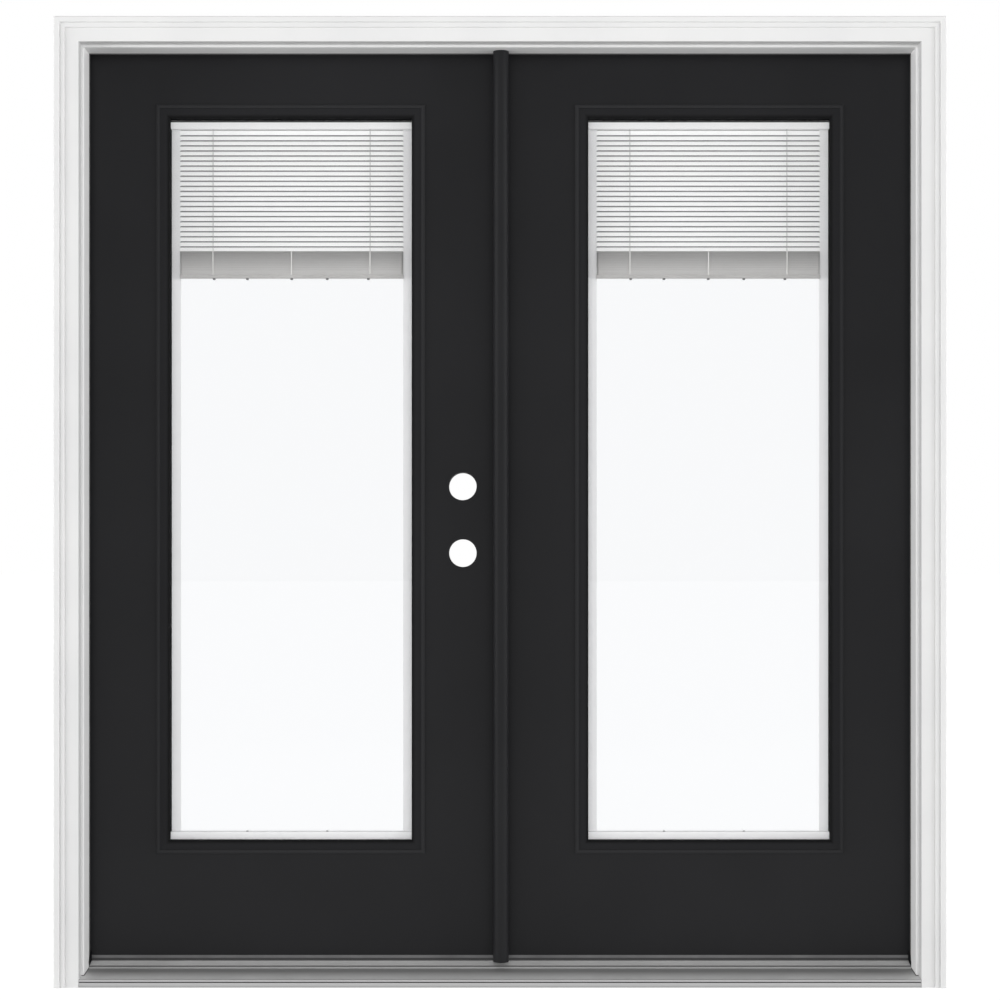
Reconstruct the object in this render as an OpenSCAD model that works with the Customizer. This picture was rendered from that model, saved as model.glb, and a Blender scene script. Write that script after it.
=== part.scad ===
// A pair of inswing patio doors in their own frame: two black full-light leaves with
// blinds sealed between the panes, white jambs and brickmould, and an aluminium sill.
// X runs along the sill, +Y goes indoors, +Z is up, and z = 0 is the underside of the sill.

/* [Frame] */
// Width across the backs of the side jambs
frame_w = 1828; // [1760:1:1900]
// Height from the underside of the sill to the top of the head jamb
frame_h = 2020; // [2005:1:2060]
// Depth of the jambs through the wall
jamb_depth = 116; // [115:0.5:120]
// Thickness of the jambs at the stop
jamb_t = 32; // [30:0.5:36]
// Step from the stop face back to the face that carries the hinges
rabbet = 13; // [12:0.5:14]
// Depth of the stop from the outside edge of the jamb
stop_d = 52; // [48:0.5:54]
// Width of the brickmould
mould_w = 53; // [50:0.5:56]
// Width of brickmould that shows past the backs of the jambs
mould_lap = 26; // [22:1:28]

/* [Sill] */
// Reach of the sill nose in front of the jambs
nose_out = 28; // [26:0.5:31]
// Height of the nose
nose_h = 17; // [16:0.5:18]
// Height of the deck where it meets the threshold
deck_h = 26; // [25:0.5:27]
// Height of the threshold cap
cap_h = 37.5; // [36:0.5:38]

/* [Leaves] */
// Thickness of a leaf
slab_t = 44.5; // [44:0.5:46]
// Height of the lower edge of the leaves
slab_bottom = 49.5; // [49:0.5:54]
// Gap between a leaf and the jambs
door_gap = 3; // [3:0.5:4]
// Half of the space that the astragal fills between the leaves
meet_x = 10.5; // [10:0.5:12]
// Thickness of the painted skins
skin_t = 1; // [0.8:0.1:1.5]
// Width of the stile that carries the hinges
hinge_stile_w = 38; // [34:1:60]
// Width of the stile that takes the lock
lock_stile_w = 110; // [108:1:114]

/* [Lights] */
// Width of the light frame
lite_w = 580; // [540:1:584]
// Height of the light frame
lite_h = 1615; // [1560:1:1620]
// Height of the light frame's lower edge
lite_bottom = 268; // [264:1:280]
// Width of the light frame's moulding
lite_mould = 29.2; // [29:0.1:32]
// Thickness of a pane
pane_t = 3; // [3:0.5:4]
// Thickness of the sealed unit, panes included
unit_t = 25; // [24:0.5:26]

/* [Blinds] */
// Width of a slat
slat_w = 12.7; // [12:0.1:13.5]
// Spacing of the slats that hang open
slat_pitch = 10.94; // [10.5:0.01:11]
// Slats that hang open
slat_count = 24; // [16:1:26]
// Tilt of the slats
slat_tilt = 68; // [55:1:75]
// Height of the gathered slats
stack_h = 52; // [44:1:56]

/* [Hardware] */
// Height of a hinge
hinge_h = 101.6; // [90:0.1:110]
// Radius of a hinge barrel
knuckle_r = 6.35; // [6:0.05:7]
// Radius of the bore in a hinge barrel
pin_r = 3.5; // [3:0.1:4]
// Diameter of the lock bores
lock_bore = 60; // [50:0.5:62]
// Height of the lower lock bore
latch_z = 915.9; // [880:0.1:960]
// Spacing of the two lock bores
lock_pitch = 144.2; // [130:0.1:150]
// Distance from the leaf's edge to the middle of the lock bores
backset = 70; // [60:1:72]
// Radius of the flush bolts
bolt_r = 5; // [4.5:0.1:5.5]

/* [Hidden] */
half_w = frame_w / 2;
rabbet_x = half_w - jamb_t + rabbet;
rabbet_z = frame_h - jamb_t + rabbet;
soffit_z = frame_h - jamb_t;
mould_x = half_w + mould_lap;
mould_z = frame_h + mould_lap;
hinge_edge = rabbet_x - door_gap;
slab_top = rabbet_z - door_gap;
slab_y = jamb_depth - slab_t;
slab_back = jamb_depth;
leaf_mid = (meet_x + hinge_edge) / 2;
rub = 0.3;
over = 1;

kerf_w = 3;
kerf_d = 9;
kerf_in = 3;
strip_w = 12;

lite_top = lite_bottom + lite_h;
lite_wall = 18;
lite_lip = 11;
lip_w = lite_w - 2 * lite_mould;
lip_bottom = lite_bottom + lite_mould;
lip_top = lite_top - lite_mould;
glass_y = slab_y + (slab_t - unit_t) / 2;
glass_back = glass_y + unit_t;
glass_edge = 8.5;
guide_face = 19.8;
guide_t = 3;
foot_h = 16;

headrail_drop = 19.8;
headrail_gap = 6.2;
headrail_z = lip_top - headrail_drop;
first_slat = headrail_z - 6.3;
slat_len = lip_w - 2 * guide_face + 2;
slat_t = 0.35;
slat_crown = 0.9;
blind_y = (glass_y + glass_back) / 2;
stack_top = first_slat - (slat_count - 1) * slat_pitch - 6.3;
stack_bottom = stack_top - stack_h;
rail_h = 6.5;
ladder_x = 170;
slider_z = stack_bottom - rail_h / 2;

hinge_x = rabbet_x - door_gap / 2;
hinge_y = jamb_depth + knuckle_r + 0.15;
hinge_set = 178;
hinge_rise = 279;
hinge_low = slab_bottom + hinge_rise;
hinge_high = slab_top - hinge_set - hinge_h;
hinge_feet = [hinge_low, (hinge_low + hinge_high) / 2, hinge_high];
leaf_t = 2.2;
leaf_w = 32;
leaf_gap = 0.3;
knuckle_h = hinge_h / 5;

nose_r = 16.9;
nose_x = 2;
astragal_front = 20.3;
astragal_left = -6.5;
astragal_low = 42.5;
astragal_high = slab_top - 2;
bolt_x = 2;
bolt_y = (slab_y + slab_back) / 2;
bolt_len = 180;
bolt_slack = 35;
bolt_throw = 16;
lug_h = 20;
lug_w = 7.4;
lug_inset = 95;
strike_size = [40, 22, 1.6];
strike_play = 0.6;

white_paint = [0.93, 0.93, 0.92];
black_paint = [0.15, 0.15, 0.16];
aluminium = [0.72, 0.73, 0.74];
steel = [0.62, 0.62, 0.63];
grey_vinyl = [0.4, 0.4, 0.41];
dark_rubber = [0.12, 0.12, 0.12];
bare_wood = [0.76, 0.62, 0.44];
foam = [0.9, 0.85, 0.66];
clear_glass = [0.8, 0.88, 0.9, 0.35];
blind_white = [0.96, 0.96, 0.95];

// Points along an arc, angles in degrees
function arc(centre, radius, from, to, steps) = [
    for (i = [0 : steps])
        let (a = from + (to - from) * i / steps)
        centre + radius * [cos(a), sin(a)]
];

// A box between two corners
module block(low, high) {
    translate(low)
        cube(high - low);
}

// A section drawn in Y and Z, run along X
module along_x(x0, x1) {
    translate([x0, 0, 0])
        rotate([90, 0, 90])
            linear_extrude(x1 - x0)
                children();
}

// A section drawn in X and Z, run along Y
module along_y(y0, y1) {
    translate([0, y1, 0])
        rotate([90, 0, 0])
            linear_extrude(y1 - y0)
                children();
}

// Everything of a side is drawn on the right; the left side is its mirror image
module on_left() {
    mirror([1, 0, 0])
        children();
}

// Section of a jamb: distance from its back across, depth through the wall up.
// The stop is one piece with the jamb and has a narrow kerf for the weatherstrip.
module jamb_section(kerfed) {
    hinge_face = jamb_t - rabbet;
    ease = 1.5;
    kerf = [
        [hinge_face + kerf_in + kerf_w, stop_d],
        [hinge_face + kerf_in + kerf_w, stop_d - kerf_d],
        [hinge_face + kerf_in, stop_d - kerf_d],
        [hinge_face + kerf_in, stop_d]
    ];
    polygon(concat(
        [[0, 0], [jamb_t - ease, 0], [jamb_t, ease], [jamb_t, stop_d]],
        kerfed ? kerf : [],
        [[hinge_face, stop_d], [hinge_face, jamb_depth], [0, jamb_depth]]
    ));
}

module head_bar(kerfed) {
    along_x(-half_w, half_w)
        translate([0, frame_h])
            rotate(-90)
                jamb_section(kerfed);
}

// The side jambs stand on the sill, cut to its slope, and stop under the head jamb
module side_jamb() {
    color(white_paint)
        difference() {
            translate([half_w, 0, 0])
                mirror([1, 0, 0])
                    linear_extrude(frame_h)
                        jamb_section(true);
            head_bar(false);
            sill_body();
            for (z = hinge_feet)
                block([rabbet_x - over, hinge_y - knuckle_r - leaf_w, z],
                      [hinge_x + leaf_gap + leaf_t, jamb_depth + over, z + hinge_h]);
        }
}

module head_jamb() {
    color(white_paint)
        difference() {
            head_bar(true);
            strike_block(rabbet_z);
            translate([bolt_x, bolt_y, rabbet_z - over])
                cylinder(r = bolt_r + strike_play, h = jamb_t + 2 * over, $fn = 48);
        }
}

// Section of the brickmould: distance from its outer edge across, thickness up.
// An eased outer band and a second, lower band stand over the flat, each past a quirk.
module mould_section() {
    crown = 31.8;
    band = 29.6;
    flat = 26.6;
    ease = 3.2;
    polygon(concat(
        [[0, 0]],
        arc([ease, crown - ease], ease, 180, 90, 4),
        [[12.4, crown], [13.2, band - 2], [15, band - 2], [15.6, band]],
        [[22.6, band], [23.4, flat - 1.4], [25.2, flat - 1.4], [25.8, flat]],
        arc([mould_w - 2, flat - 2], 2, 90, 0, 3),
        [[mould_w, 0]]
    ));
}

module side_brickmould() {
    color(white_paint)
        intersection() {
            translate([mould_x, 0, 0])
                rotate(180)
                    linear_extrude(mould_z)
                        mould_section();
            along_y(-50, over)
                polygon([[mould_x, 0], [mould_x, mould_z], [mould_x - mould_w, mould_z - mould_w],
                         [mould_x - mould_w, 0]]);
        }
}

module head_brickmould() {
    color(white_paint)
        intersection() {
            along_x(-mould_x, mould_x)
                translate([0, mould_z])
                    rotate(-90)
                        mirror([0, 1])
                            mould_section();
            along_y(-50, over)
                polygon([[-mould_x, mould_z], [mould_x, mould_z], [mould_x - mould_w, mould_z - mould_w],
                         [mould_w - mould_x, mould_z - mould_w]]);
        }
}

// Places and heights in the section of the sill, front to back
apron_y = -nose_out + 1.5;
base_y = -nose_out + 5.4;
nose_ease = 1.8;
deck_start = -nose_out + nose_ease;
deck_back = stop_d - 3;
deck_t = 2;
lip_t = 3;
lip_rise = 2.5;
deck_rise = (deck_h - nose_h) / (deck_back - lip_t - deck_start);
base_front_z = nose_h + deck_rise * (base_y - deck_start) - deck_t;
base_back_z = deck_h - deck_t;

// Solid filler under the deck and the threshold
module base_section() {
    polygon([[base_y, 0], [jamb_depth, 0], [jamb_depth, deck_h], [deck_back, deck_h],
             [deck_back, base_back_z], [base_y, base_front_z]]);
}

// Extruded deck: grooved apron, rounded nose, a slope that sheds water and an upturned back edge
module deck_section() {
    groove_low = 11.2;
    groove_high = 13;
    groove_y = apron_y + 3.3;
    polygon(concat(
        [[apron_y, 0], [apron_y, groove_low], [groove_y, groove_low], [groove_y, groove_high]],
        [[-nose_out, groove_high]],
        arc([deck_start, nose_h - nose_ease], nose_ease, 180, 90, 4),
        [[deck_back - lip_t, deck_h], [deck_back - lip_t + 0.5, deck_h + lip_rise]],
        [[deck_back, deck_h + lip_rise], [deck_back, base_back_z], [base_y, base_front_z], [base_y, 0]]
    ));
}

// Threshold under the leaves, with a sloped front and an eased inner edge
module cap_section() {
    front_h = 31.5;
    slope = 15;
    shoulder = 2;
    ease = 5;
    polygon(concat(
        [[deck_back, deck_h], [deck_back, front_h], [deck_back + slope, cap_h - shoulder / 2],
         [deck_back + slope + shoulder, cap_h]],
        arc([jamb_depth - ease, cap_h - ease], ease, 90, 0, 4),
        [[jamb_depth, deck_h]]
    ));
}

// The nose fits between the feet of the brickmould, and the rest runs under the jambs
module sill_run() {
    play = 0.2;
    difference() {
        along_x(-half_w, half_w)
            children();
        for (side = [-1, 1])
            translate([side * mould_x, 0, 0])
                block([-mould_w - play, -nose_out - over, -over], [mould_w + play, 0, deck_h]);
    }
}

module sill_base() {
    color(bare_wood)
        sill_run()
            base_section();
}

module sill_deck() {
    color(aluminium)
        sill_run()
            deck_section();
}

module threshold_cap() {
    color(grey_vinyl)
        difference() {
            along_x(-half_w, half_w)
                cap_section();
            strike_block(cap_h - strike_size[2]);
            translate([bolt_x, bolt_y, deck_h - over])
                cylinder(r = bolt_r + strike_play, h = cap_h, $fn = 48);
        }
}

// The whole sill, a little longer than the frame, to cut the feet of the jambs
module sill_body() {
    along_x(-half_w - over, half_w + over)
        base_section();
    along_x(-half_w - over, half_w + over)
        deck_section();
    along_x(-half_w - over, half_w + over)
        cap_section();
}

// Foam-filled bulb with a fin pressed into the kerf of the stop
module strip_section() {
    hinge_face = jamb_t - rabbet;
    bulb_back = slab_y - rub;
    round = 4;
    polygon(concat(
        [[hinge_face, stop_d], [hinge_face + kerf_in, stop_d], [hinge_face + kerf_in, stop_d - kerf_d + 1]],
        [[hinge_face + kerf_in + kerf_w, stop_d - kerf_d + 1], [hinge_face + kerf_in + kerf_w, stop_d]],
        [[hinge_face + strip_w, stop_d]],
        arc([hinge_face + strip_w - round, bulb_back - round], round, 0, 90, 4),
        [[hinge_face + 2, bulb_back], [hinge_face, bulb_back - 5]]
    ));
}

module side_weatherstrip() {
    color(dark_rubber)
        translate([half_w, 0, cap_h])
            mirror([1, 0, 0])
                linear_extrude(soffit_z - cap_h)
                    strip_section();
}

module head_weatherstrip() {
    color(dark_rubber)
        along_x(-rabbet_x, rabbet_x)
            translate([0, frame_h])
                rotate(-90)
                    strip_section();
}

// Half of a butt hinge about its own axis: a flat leaf let into the wood and its share of the barrel
module hinge_leaf(shares) {
    leaf_end = -knuckle_r - 0.35;
    for (z = hinge_feet)
        translate([hinge_x, hinge_y, z]) {
            block([leaf_gap, -knuckle_r - leaf_w, 0], [leaf_gap + leaf_t, leaf_end, hinge_h]);
            for (k = shares)
                difference() {
                    union() {
                        translate([0, 0, k * knuckle_h + 0.1])
                            cylinder(r = knuckle_r, h = knuckle_h - 0.2, $fn = 48);
                        block([leaf_gap, leaf_end - 0.5, k * knuckle_h + 0.1],
                              [leaf_gap + leaf_t, 0, (k + 1) * knuckle_h - 0.1]);
                    }
                    translate([0, 0, k * knuckle_h - over])
                        cylinder(r = pin_r, h = knuckle_h + 2 * over, $fn = 48);
                }
        }
}

module frame_hinge_leaves() {
    color(steel)
        hinge_leaf([0, 2, 4]);
}

module door_hinge_leaves() {
    color(steel)
        translate([2 * hinge_x, 0, 0])
            mirror([1, 0, 0])
                hinge_leaf([1, 3]);
}

// Loose pins with a button head above the barrel and a tip below it
module hinge_pins() {
    color(steel)
        for (z = hinge_feet)
            translate([hinge_x, hinge_y, z]) {
                translate([0, 0, -3])
                    cylinder(r1 = 3.2, r2 = 5, h = 3, $fn = 48);
                cylinder(r = pin_r - 0.05, h = hinge_h, $fn = 48);
                translate([0, 0, hinge_h])
                    cylinder(r1 = 5.6, r2 = 4.4, h = 3.4, $fn = 48);
            }
}

// Plates let into the head and the threshold, where the flush bolts of the passive leaf enter
module strike_block(z) {
    block([bolt_x - strike_size[0] / 2, bolt_y - strike_size[1] / 2, z],
          [bolt_x + strike_size[0] / 2, bolt_y + strike_size[1] / 2, z + strike_size[2]]);
}

module bolt_strike(z) {
    color(steel)
        difference() {
            strike_block(z);
            translate([bolt_x, bolt_y, z - over])
                cylinder(r = bolt_r + strike_play, h = strike_size[2] + 2 * over, $fn = 48);
        }
}

module hinge_mortises() {
    for (z = hinge_feet)
        block([hinge_x - leaf_gap - leaf_t, hinge_y - knuckle_r - leaf_w, z],
              [hinge_edge + over, jamb_depth + over, z + hinge_h]);
}

module lock_bores() {
    for (z = [latch_z, latch_z + lock_pitch]) {
        translate([meet_x + backset, slab_y - over, z])
            rotate([-90, 0, 0])
                cylinder(d = lock_bore, h = slab_t + 2 * over, $fn = 96);
        translate([meet_x - over, bolt_y, z])
            rotate([0, 90, 0])
                cylinder(d = 25.4, h = backset, $fn = 64);
    }
}

// Wooden edges of a leaf, between the skins
module hinge_stile() {
    color(bare_wood)
        difference() {
            block([hinge_edge - hinge_stile_w, slab_y + skin_t, slab_bottom],
                  [hinge_edge, slab_back - skin_t, slab_top]);
            hinge_mortises();
        }
}

module lock_stile(bored) {
    color(bare_wood)
        difference() {
            block([meet_x, slab_y + skin_t, slab_bottom], [meet_x + lock_stile_w, slab_back - skin_t, slab_top]);
            if (bored)
                lock_bores();
        }
}

top_rail_h = 45;
bottom_rail_h = 60;

module cross_rail(z0, z1) {
    color(bare_wood)
        block([meet_x + lock_stile_w, slab_y + skin_t, z0],
              [hinge_edge - hinge_stile_w, slab_back - skin_t, z1]);
}

// Hole in the leaf that the light frames clamp into
module lite_hole() {
    block([leaf_mid - lite_w / 2 + lite_wall, slab_y - over, lite_bottom + lite_wall],
          [leaf_mid + lite_w / 2 - lite_wall, slab_back + over, lite_top - lite_wall]);
}

module core() {
    color(foam)
        difference() {
            block([meet_x + lock_stile_w, slab_y + skin_t, slab_bottom + bottom_rail_h],
                  [hinge_edge - hinge_stile_w, slab_back - skin_t, slab_top - top_rail_h]);
            lite_hole();
        }
}

module exterior_skin(bored) {
    color(black_paint)
        difference() {
            block([meet_x, slab_y, slab_bottom], [hinge_edge, slab_y + skin_t, slab_top]);
            lite_hole();
            if (bored)
                lock_bores();
        }
}

module interior_skin(bored) {
    color(black_paint)
        difference() {
            block([meet_x, slab_back - skin_t, slab_bottom], [hinge_edge, slab_back, slab_top]);
            lite_hole();
            hinge_mortises();
            if (bored)
                lock_bores();
        }
}

// Section of the light frame: distance from its outer edge across, height over the leaf's face up.
// A low outer bead, a quirk, a flat and an ovolo that falls to the lip, with a leg behind that
// presses on the glass.
function lite_section() = concat(
    [[0, 0]],
    arc([7.02, -4.08], 9.15, 140, 80, 8),
    [[9.4, 3.4], [11.6, 3.2], [20, 3.9]],
    arc([20.6, -5.1], 9, 90, 33, 6),
    [[lite_mould, -0.8], [lite_mould, slab_y - glass_y]],
    [[lite_mould - lite_lip, slab_y - glass_y], [lite_mould - lite_lip, 0]]
);

// One of the four bars of the light frame, mitred at both ends; the bar lies along its lower edge
module lite_bar(length) {
    intersection() {
        along_x(-length / 2, length / 2)
            polygon([for (p = lite_section()) [-p[1], p[0]]]);
        along_y(-30, 30)
            polygon([[-length / 2, 0], [length / 2, 0], [length / 2 - lite_mould, lite_mould],
                     [lite_mould - length / 2, lite_mould]]);
    }
}

module lite_ring() {
    translate([leaf_mid, 0, lite_bottom])
        lite_bar(lite_w);
    translate([leaf_mid, 0, lite_top])
        rotate([0, 180, 0])
            lite_bar(lite_w);
    translate([leaf_mid - lite_w / 2, 0, lite_bottom + lite_h / 2])
        rotate([0, 90, 0])
            lite_bar(lite_h);
    translate([leaf_mid + lite_w / 2, 0, lite_bottom + lite_h / 2])
        rotate([0, -90, 0])
            lite_bar(lite_h);
}

module exterior_lite_frame() {
    color(black_paint)
        translate([0, slab_y, 0])
            lite_ring();
}

// The inner frame has a guide beside the glass that the blind's slider runs on
guide_w = 10;
guide_x = leaf_mid + lip_w / 2 - guide_w;

module interior_lite_frame() {
    color(black_paint)
        union() {
            translate([0, slab_back, 0])
                mirror([0, 1, 0])
                    lite_ring();
            block([guide_x, glass_back, lip_bottom], [guide_x + guide_w, glass_back + 5, lip_top]);
        }
}

module pane(y) {
    color(clear_glass)
        block([leaf_mid - lip_w / 2 - glass_edge, y, lip_bottom - glass_edge],
              [leaf_mid + lip_w / 2 + glass_edge, y + pane_t, lip_top + glass_edge]);
}

// Dark bar around the edge of the panes that keeps them apart and seals the unit
module spacer() {
    color(dark_rubber)
        difference() {
            block([leaf_mid - lip_w / 2 - glass_edge, glass_y + pane_t, lip_bottom - glass_edge],
                  [leaf_mid + lip_w / 2 + glass_edge, glass_back - pane_t, lip_top + glass_edge]);
            block([leaf_mid - lip_w / 2, glass_y, lip_bottom], [leaf_mid + lip_w / 2, glass_back, lip_top]);
        }
}

// White frame of the blind: a headrail that is open above, two side guides behind the ends of the
// slats, and a foot that the bottom rail comes down to
module blind_frame() {
    wall = 1.5;
    low = headrail_z;
    top = lip_top - headrail_gap;
    left = leaf_mid - lip_w / 2;
    right = leaf_mid + lip_w / 2;
    front = glass_y + pane_t;
    back = glass_back - pane_t;
    color(blind_white)
        union() {
            difference() {
                block([left, blind_y - 8, low], [right, blind_y + 8, top]);
                block([left + wall, blind_y - 8 + wall, low + wall], [right - wall, blind_y + 8 - wall, top + over]);
            }
            for (x = [left, right - guide_face])
                block([x, back - guide_t, lip_bottom], [x + guide_face, back, low + wall]);
            block([left, front, lip_bottom], [right, back, lip_bottom + foot_h]);
        }
}

// A crowned slat seen on its end, tilted so that its outer edge hangs low
module slat_section() {
    radius = (slat_w * slat_w / 4 + slat_crown * slat_crown) / (2 * slat_crown);
    reach = asin(slat_w / 2 / radius);
    middle = [0, slat_crown / 2 - radius];
    rotate(slat_tilt)
        polygon(concat(
            arc(middle, radius, 90 + reach, 90 - reach, 4),
            arc(middle, radius - slat_t, 90 - reach, 90 + reach, 4)
        ));
}

// Open slats carried by two ladders of cord that hang from the headrail
module hanging_slats() {
    ladder_reach = 2.2;
    cord = 0.8;
    color(blind_white)
        translate([leaf_mid, blind_y, 0]) {
            for (i = [0 : slat_count - 1])
                translate([0, 0, first_slat - i * slat_pitch])
                    along_x(-slat_len / 2, slat_len / 2)
                        slat_section();
            for (x = [-ladder_x, ladder_x])
                for (y = [-ladder_reach, ladder_reach])
                    block([x - cord / 2, y - cord / 2, stack_top], [x + cord / 2, y + cord / 2, headrail_z]);
        }
}

// The gathered slats lie flat on each other, so their edges show as fine ridges
module slat_stack() {
    ridges = 26;
    step = stack_h / ridges;
    edge = slat_w / 2 - 0.35;
    notch = edge - 0.5;
    color(blind_white)
        along_x(leaf_mid - slat_len / 2, leaf_mid + slat_len / 2)
            translate([blind_y, stack_bottom])
                polygon(concat(
                    [for (i = [0 : ridges - 1], q = [[edge, 0.15], [edge, 0.75], [notch, 0.85], [notch, 1]])
                        [q[0], (i + q[1]) * step]],
                    [for (i = [ridges - 1 : -1 : 0], q = [[notch, 1], [notch, 0.85], [edge, 0.75], [edge, 0.15]])
                        [-q[0], (i + q[1]) * step]],
                    [[-edge, 0], [edge, 0]]
                ));
}

module blind_bottom_rail() {
    half = slat_len / 2;
    color(blind_white)
        along_x(leaf_mid - half, leaf_mid + half)
            translate([blind_y, stack_bottom - rail_h])
                polygon(concat(
                    arc([-4.3, 2], 2, 180, 270, 4),
                    arc([4.3, 2], 2, 270, 360, 4),
                    [[6.3, rail_h], [-6.3, rail_h]]
                ));
}

// Magnetic slider on the guide of the inner light frame; it keeps level with the bottom rail
module blind_slider() {
    tall = 28;
    face = glass_back + 5 + rub;
    color(black_paint)
        union() {
            block([guide_x - 3, face, slider_z - tall / 2], [guide_x + guide_w - 1, face + 4, slider_z + tall / 2]);
            block([guide_x - 3, glass_back + 1, slider_z - tall / 2],
                  [guide_x - rub, face + 4, slider_z + tall / 2]);
            intersection() {
                translate([guide_x + guide_w / 2 - 2, face - 6, slider_z])
                    rotate([0, 90, 0])
                        cylinder(r = 14, h = guide_w + 2, center = true, $fn = 64);
                block([guide_x - 3, face + 3, slider_z - 12], [guide_x + guide_w - 1, face + 9, slider_z + 12]);
            }
        }
}

// Vinyl sweep under a leaf: a flat carrier with three fins that drag on the threshold
module sweep() {
    carrier = 6.5;
    fin = 1.6;
    low = cap_h + rub;
    inset = 0.5;
    color(grey_vinyl)
        along_x(meet_x + inset, hinge_edge - inset)
            union() {
                translate([slab_y + inset, slab_bottom - carrier])
                    square([slab_t - 2 * inset, carrier]);
                for (y = [slab_y + 2, bolt_y - fin / 2, slab_back - 2 - fin])
                    translate([y, low])
                        square([fin, slab_bottom - carrier - low + 0.5]);
            }
}

// Astragal on the edge of the passive leaf: a rounded nose outside that acts as the stop of the
// active leaf, and a hollow body between the leaves that holds the two flush bolts
module astragal() {
    color(black_paint)
        difference() {
            union() {
                translate([nose_x, astragal_front + nose_r, astragal_low])
                    cylinder(r = nose_r, h = soffit_z - 0.5 - astragal_low, $fn = 96);
                block([nose_x - nose_r, astragal_front + nose_r, astragal_low], [nose_x + nose_r, stop_d, soffit_z - 0.5]);
                block([astragal_left, stop_d - over, astragal_low], [meet_x, slab_y, soffit_z - 0.5]);
                block([astragal_left, slab_y, astragal_low], [meet_x, slab_back, astragal_high]);
            }
            translate([bolt_x, bolt_y, astragal_high - bolt_len - bolt_slack])
                cylinder(r = bolt_r + 0.05, h = bolt_len + bolt_slack + over, $fn = 48);
            translate([bolt_x, bolt_y, astragal_low - over])
                cylinder(r = bolt_r + 0.05, h = bolt_len + bolt_slack + over, $fn = 48);
            lug_slot(astragal_high - lug_inset - lug_h, 0, bolt_throw);
            lug_slot(astragal_low + lug_inset, bolt_throw, 0);
            for (z = [latch_z, latch_z + lock_pitch])
                translate([astragal_left - over, bolt_y, z])
                    rotate([0, 90, 0])
                        cylinder(d = 25.4, h = 13 + over, $fn = 64);
        }
}

module lug_slot(z, below, above) {
    block([astragal_left - over, bolt_y - lug_w / 2 - rub, z - below - rub],
          [bolt_x, bolt_y + lug_w / 2 + rub, z + lug_h + above + rub]);
}

// Bulb on the back of the nose, where the active leaf closes against it
module astragal_seal() {
    round = 3;
    seal_left = nose_x - nose_r + 0.6;
    color(dark_rubber)
        translate([0, 0, astragal_low])
            linear_extrude(soffit_z - 0.5 - astragal_low)
                polygon(concat(
                    [[astragal_left, stop_d], [astragal_left, slab_y - rub]],
                    arc([seal_left + round, slab_y - rub - round], round, 90, 180, 4),
                    [[seal_left, stop_d]]
                ));
}

// Round flush bolts with a finger lug that stands in the gap beside the active leaf
module flush_bolt(foot, lug_z) {
    nib = 1.7;
    color(steel)
        union() {
            translate([bolt_x, bolt_y, foot])
                cylinder(r = bolt_r, h = bolt_len, $fn = 48);
            block([astragal_left - nib, bolt_y - lug_w / 2, lug_z], [bolt_x, bolt_y + lug_w / 2, lug_z + lug_h]);
        }
}

module head_bolt() {
    flush_bolt(astragal_high - over - bolt_len, astragal_high - lug_inset - lug_h);
}

module foot_bolt() {
    flush_bolt(astragal_low + over, astragal_low + lug_inset);
}

on_left() side_jamb();  // left_jamb
side_jamb();  // right_jamb
head_jamb();
on_left() side_brickmould();  // left_brickmould
side_brickmould();  // right_brickmould
head_brickmould();
sill_base();
sill_deck();
threshold_cap();
on_left() side_weatherstrip();  // left_weatherstrip
side_weatherstrip();  // right_weatherstrip
head_weatherstrip();
on_left() frame_hinge_leaves();  // left_frame_hinge_leaves
frame_hinge_leaves();  // right_frame_hinge_leaves
on_left() hinge_pins();  // left_hinge_pins
hinge_pins();  // right_hinge_pins
bolt_strike(rabbet_z);  // head_bolt_strike
bolt_strike(cap_h - strike_size[2]);  // foot_bolt_strike
on_left() hinge_stile();  // active_hinge_stile
on_left() lock_stile(true);  // active_lock_stile
on_left() cross_rail(slab_top - top_rail_h, slab_top);  // active_top_rail
on_left() cross_rail(slab_bottom, slab_bottom + bottom_rail_h);  // active_bottom_rail
on_left() core();  // active_core
on_left() exterior_skin(true);  // active_exterior_skin
on_left() interior_skin(true);  // active_interior_skin
on_left() exterior_lite_frame();  // active_exterior_lite_frame
on_left() interior_lite_frame();  // active_interior_lite_frame
on_left() pane(glass_y);  // active_exterior_pane
on_left() pane(glass_back - pane_t);  // active_interior_pane
on_left() spacer();  // active_spacer
on_left() blind_frame();  // active_blind_frame
on_left() hanging_slats();  // active_hanging_slats
on_left() slat_stack();  // active_slat_stack
on_left() blind_bottom_rail();  // active_blind_bottom_rail
on_left() blind_slider();  // active_blind_slider
on_left() door_hinge_leaves();  // active_hinge_leaves
on_left() sweep();  // active_sweep
hinge_stile();  // passive_hinge_stile
lock_stile(false);  // passive_lock_stile
cross_rail(slab_top - top_rail_h, slab_top);  // passive_top_rail
cross_rail(slab_bottom, slab_bottom + bottom_rail_h);  // passive_bottom_rail
core();  // passive_core
exterior_skin(false);  // passive_exterior_skin
interior_skin(false);  // passive_interior_skin
exterior_lite_frame();  // passive_exterior_lite_frame
interior_lite_frame();  // passive_interior_lite_frame
pane(glass_y);  // passive_exterior_pane
pane(glass_back - pane_t);  // passive_interior_pane
spacer();  // passive_spacer
blind_frame();  // passive_blind_frame
hanging_slats();  // passive_hanging_slats
slat_stack();  // passive_slat_stack
blind_bottom_rail();  // passive_blind_bottom_rail
blind_slider();  // passive_blind_slider
door_hinge_leaves();  // passive_hinge_leaves
sweep();  // passive_sweep
astragal();
astragal_seal();
head_bolt();
foot_bolt();
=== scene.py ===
import math

import bmesh
import bpy
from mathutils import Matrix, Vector
from mathutils.bvhtree import BVHTree


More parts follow.
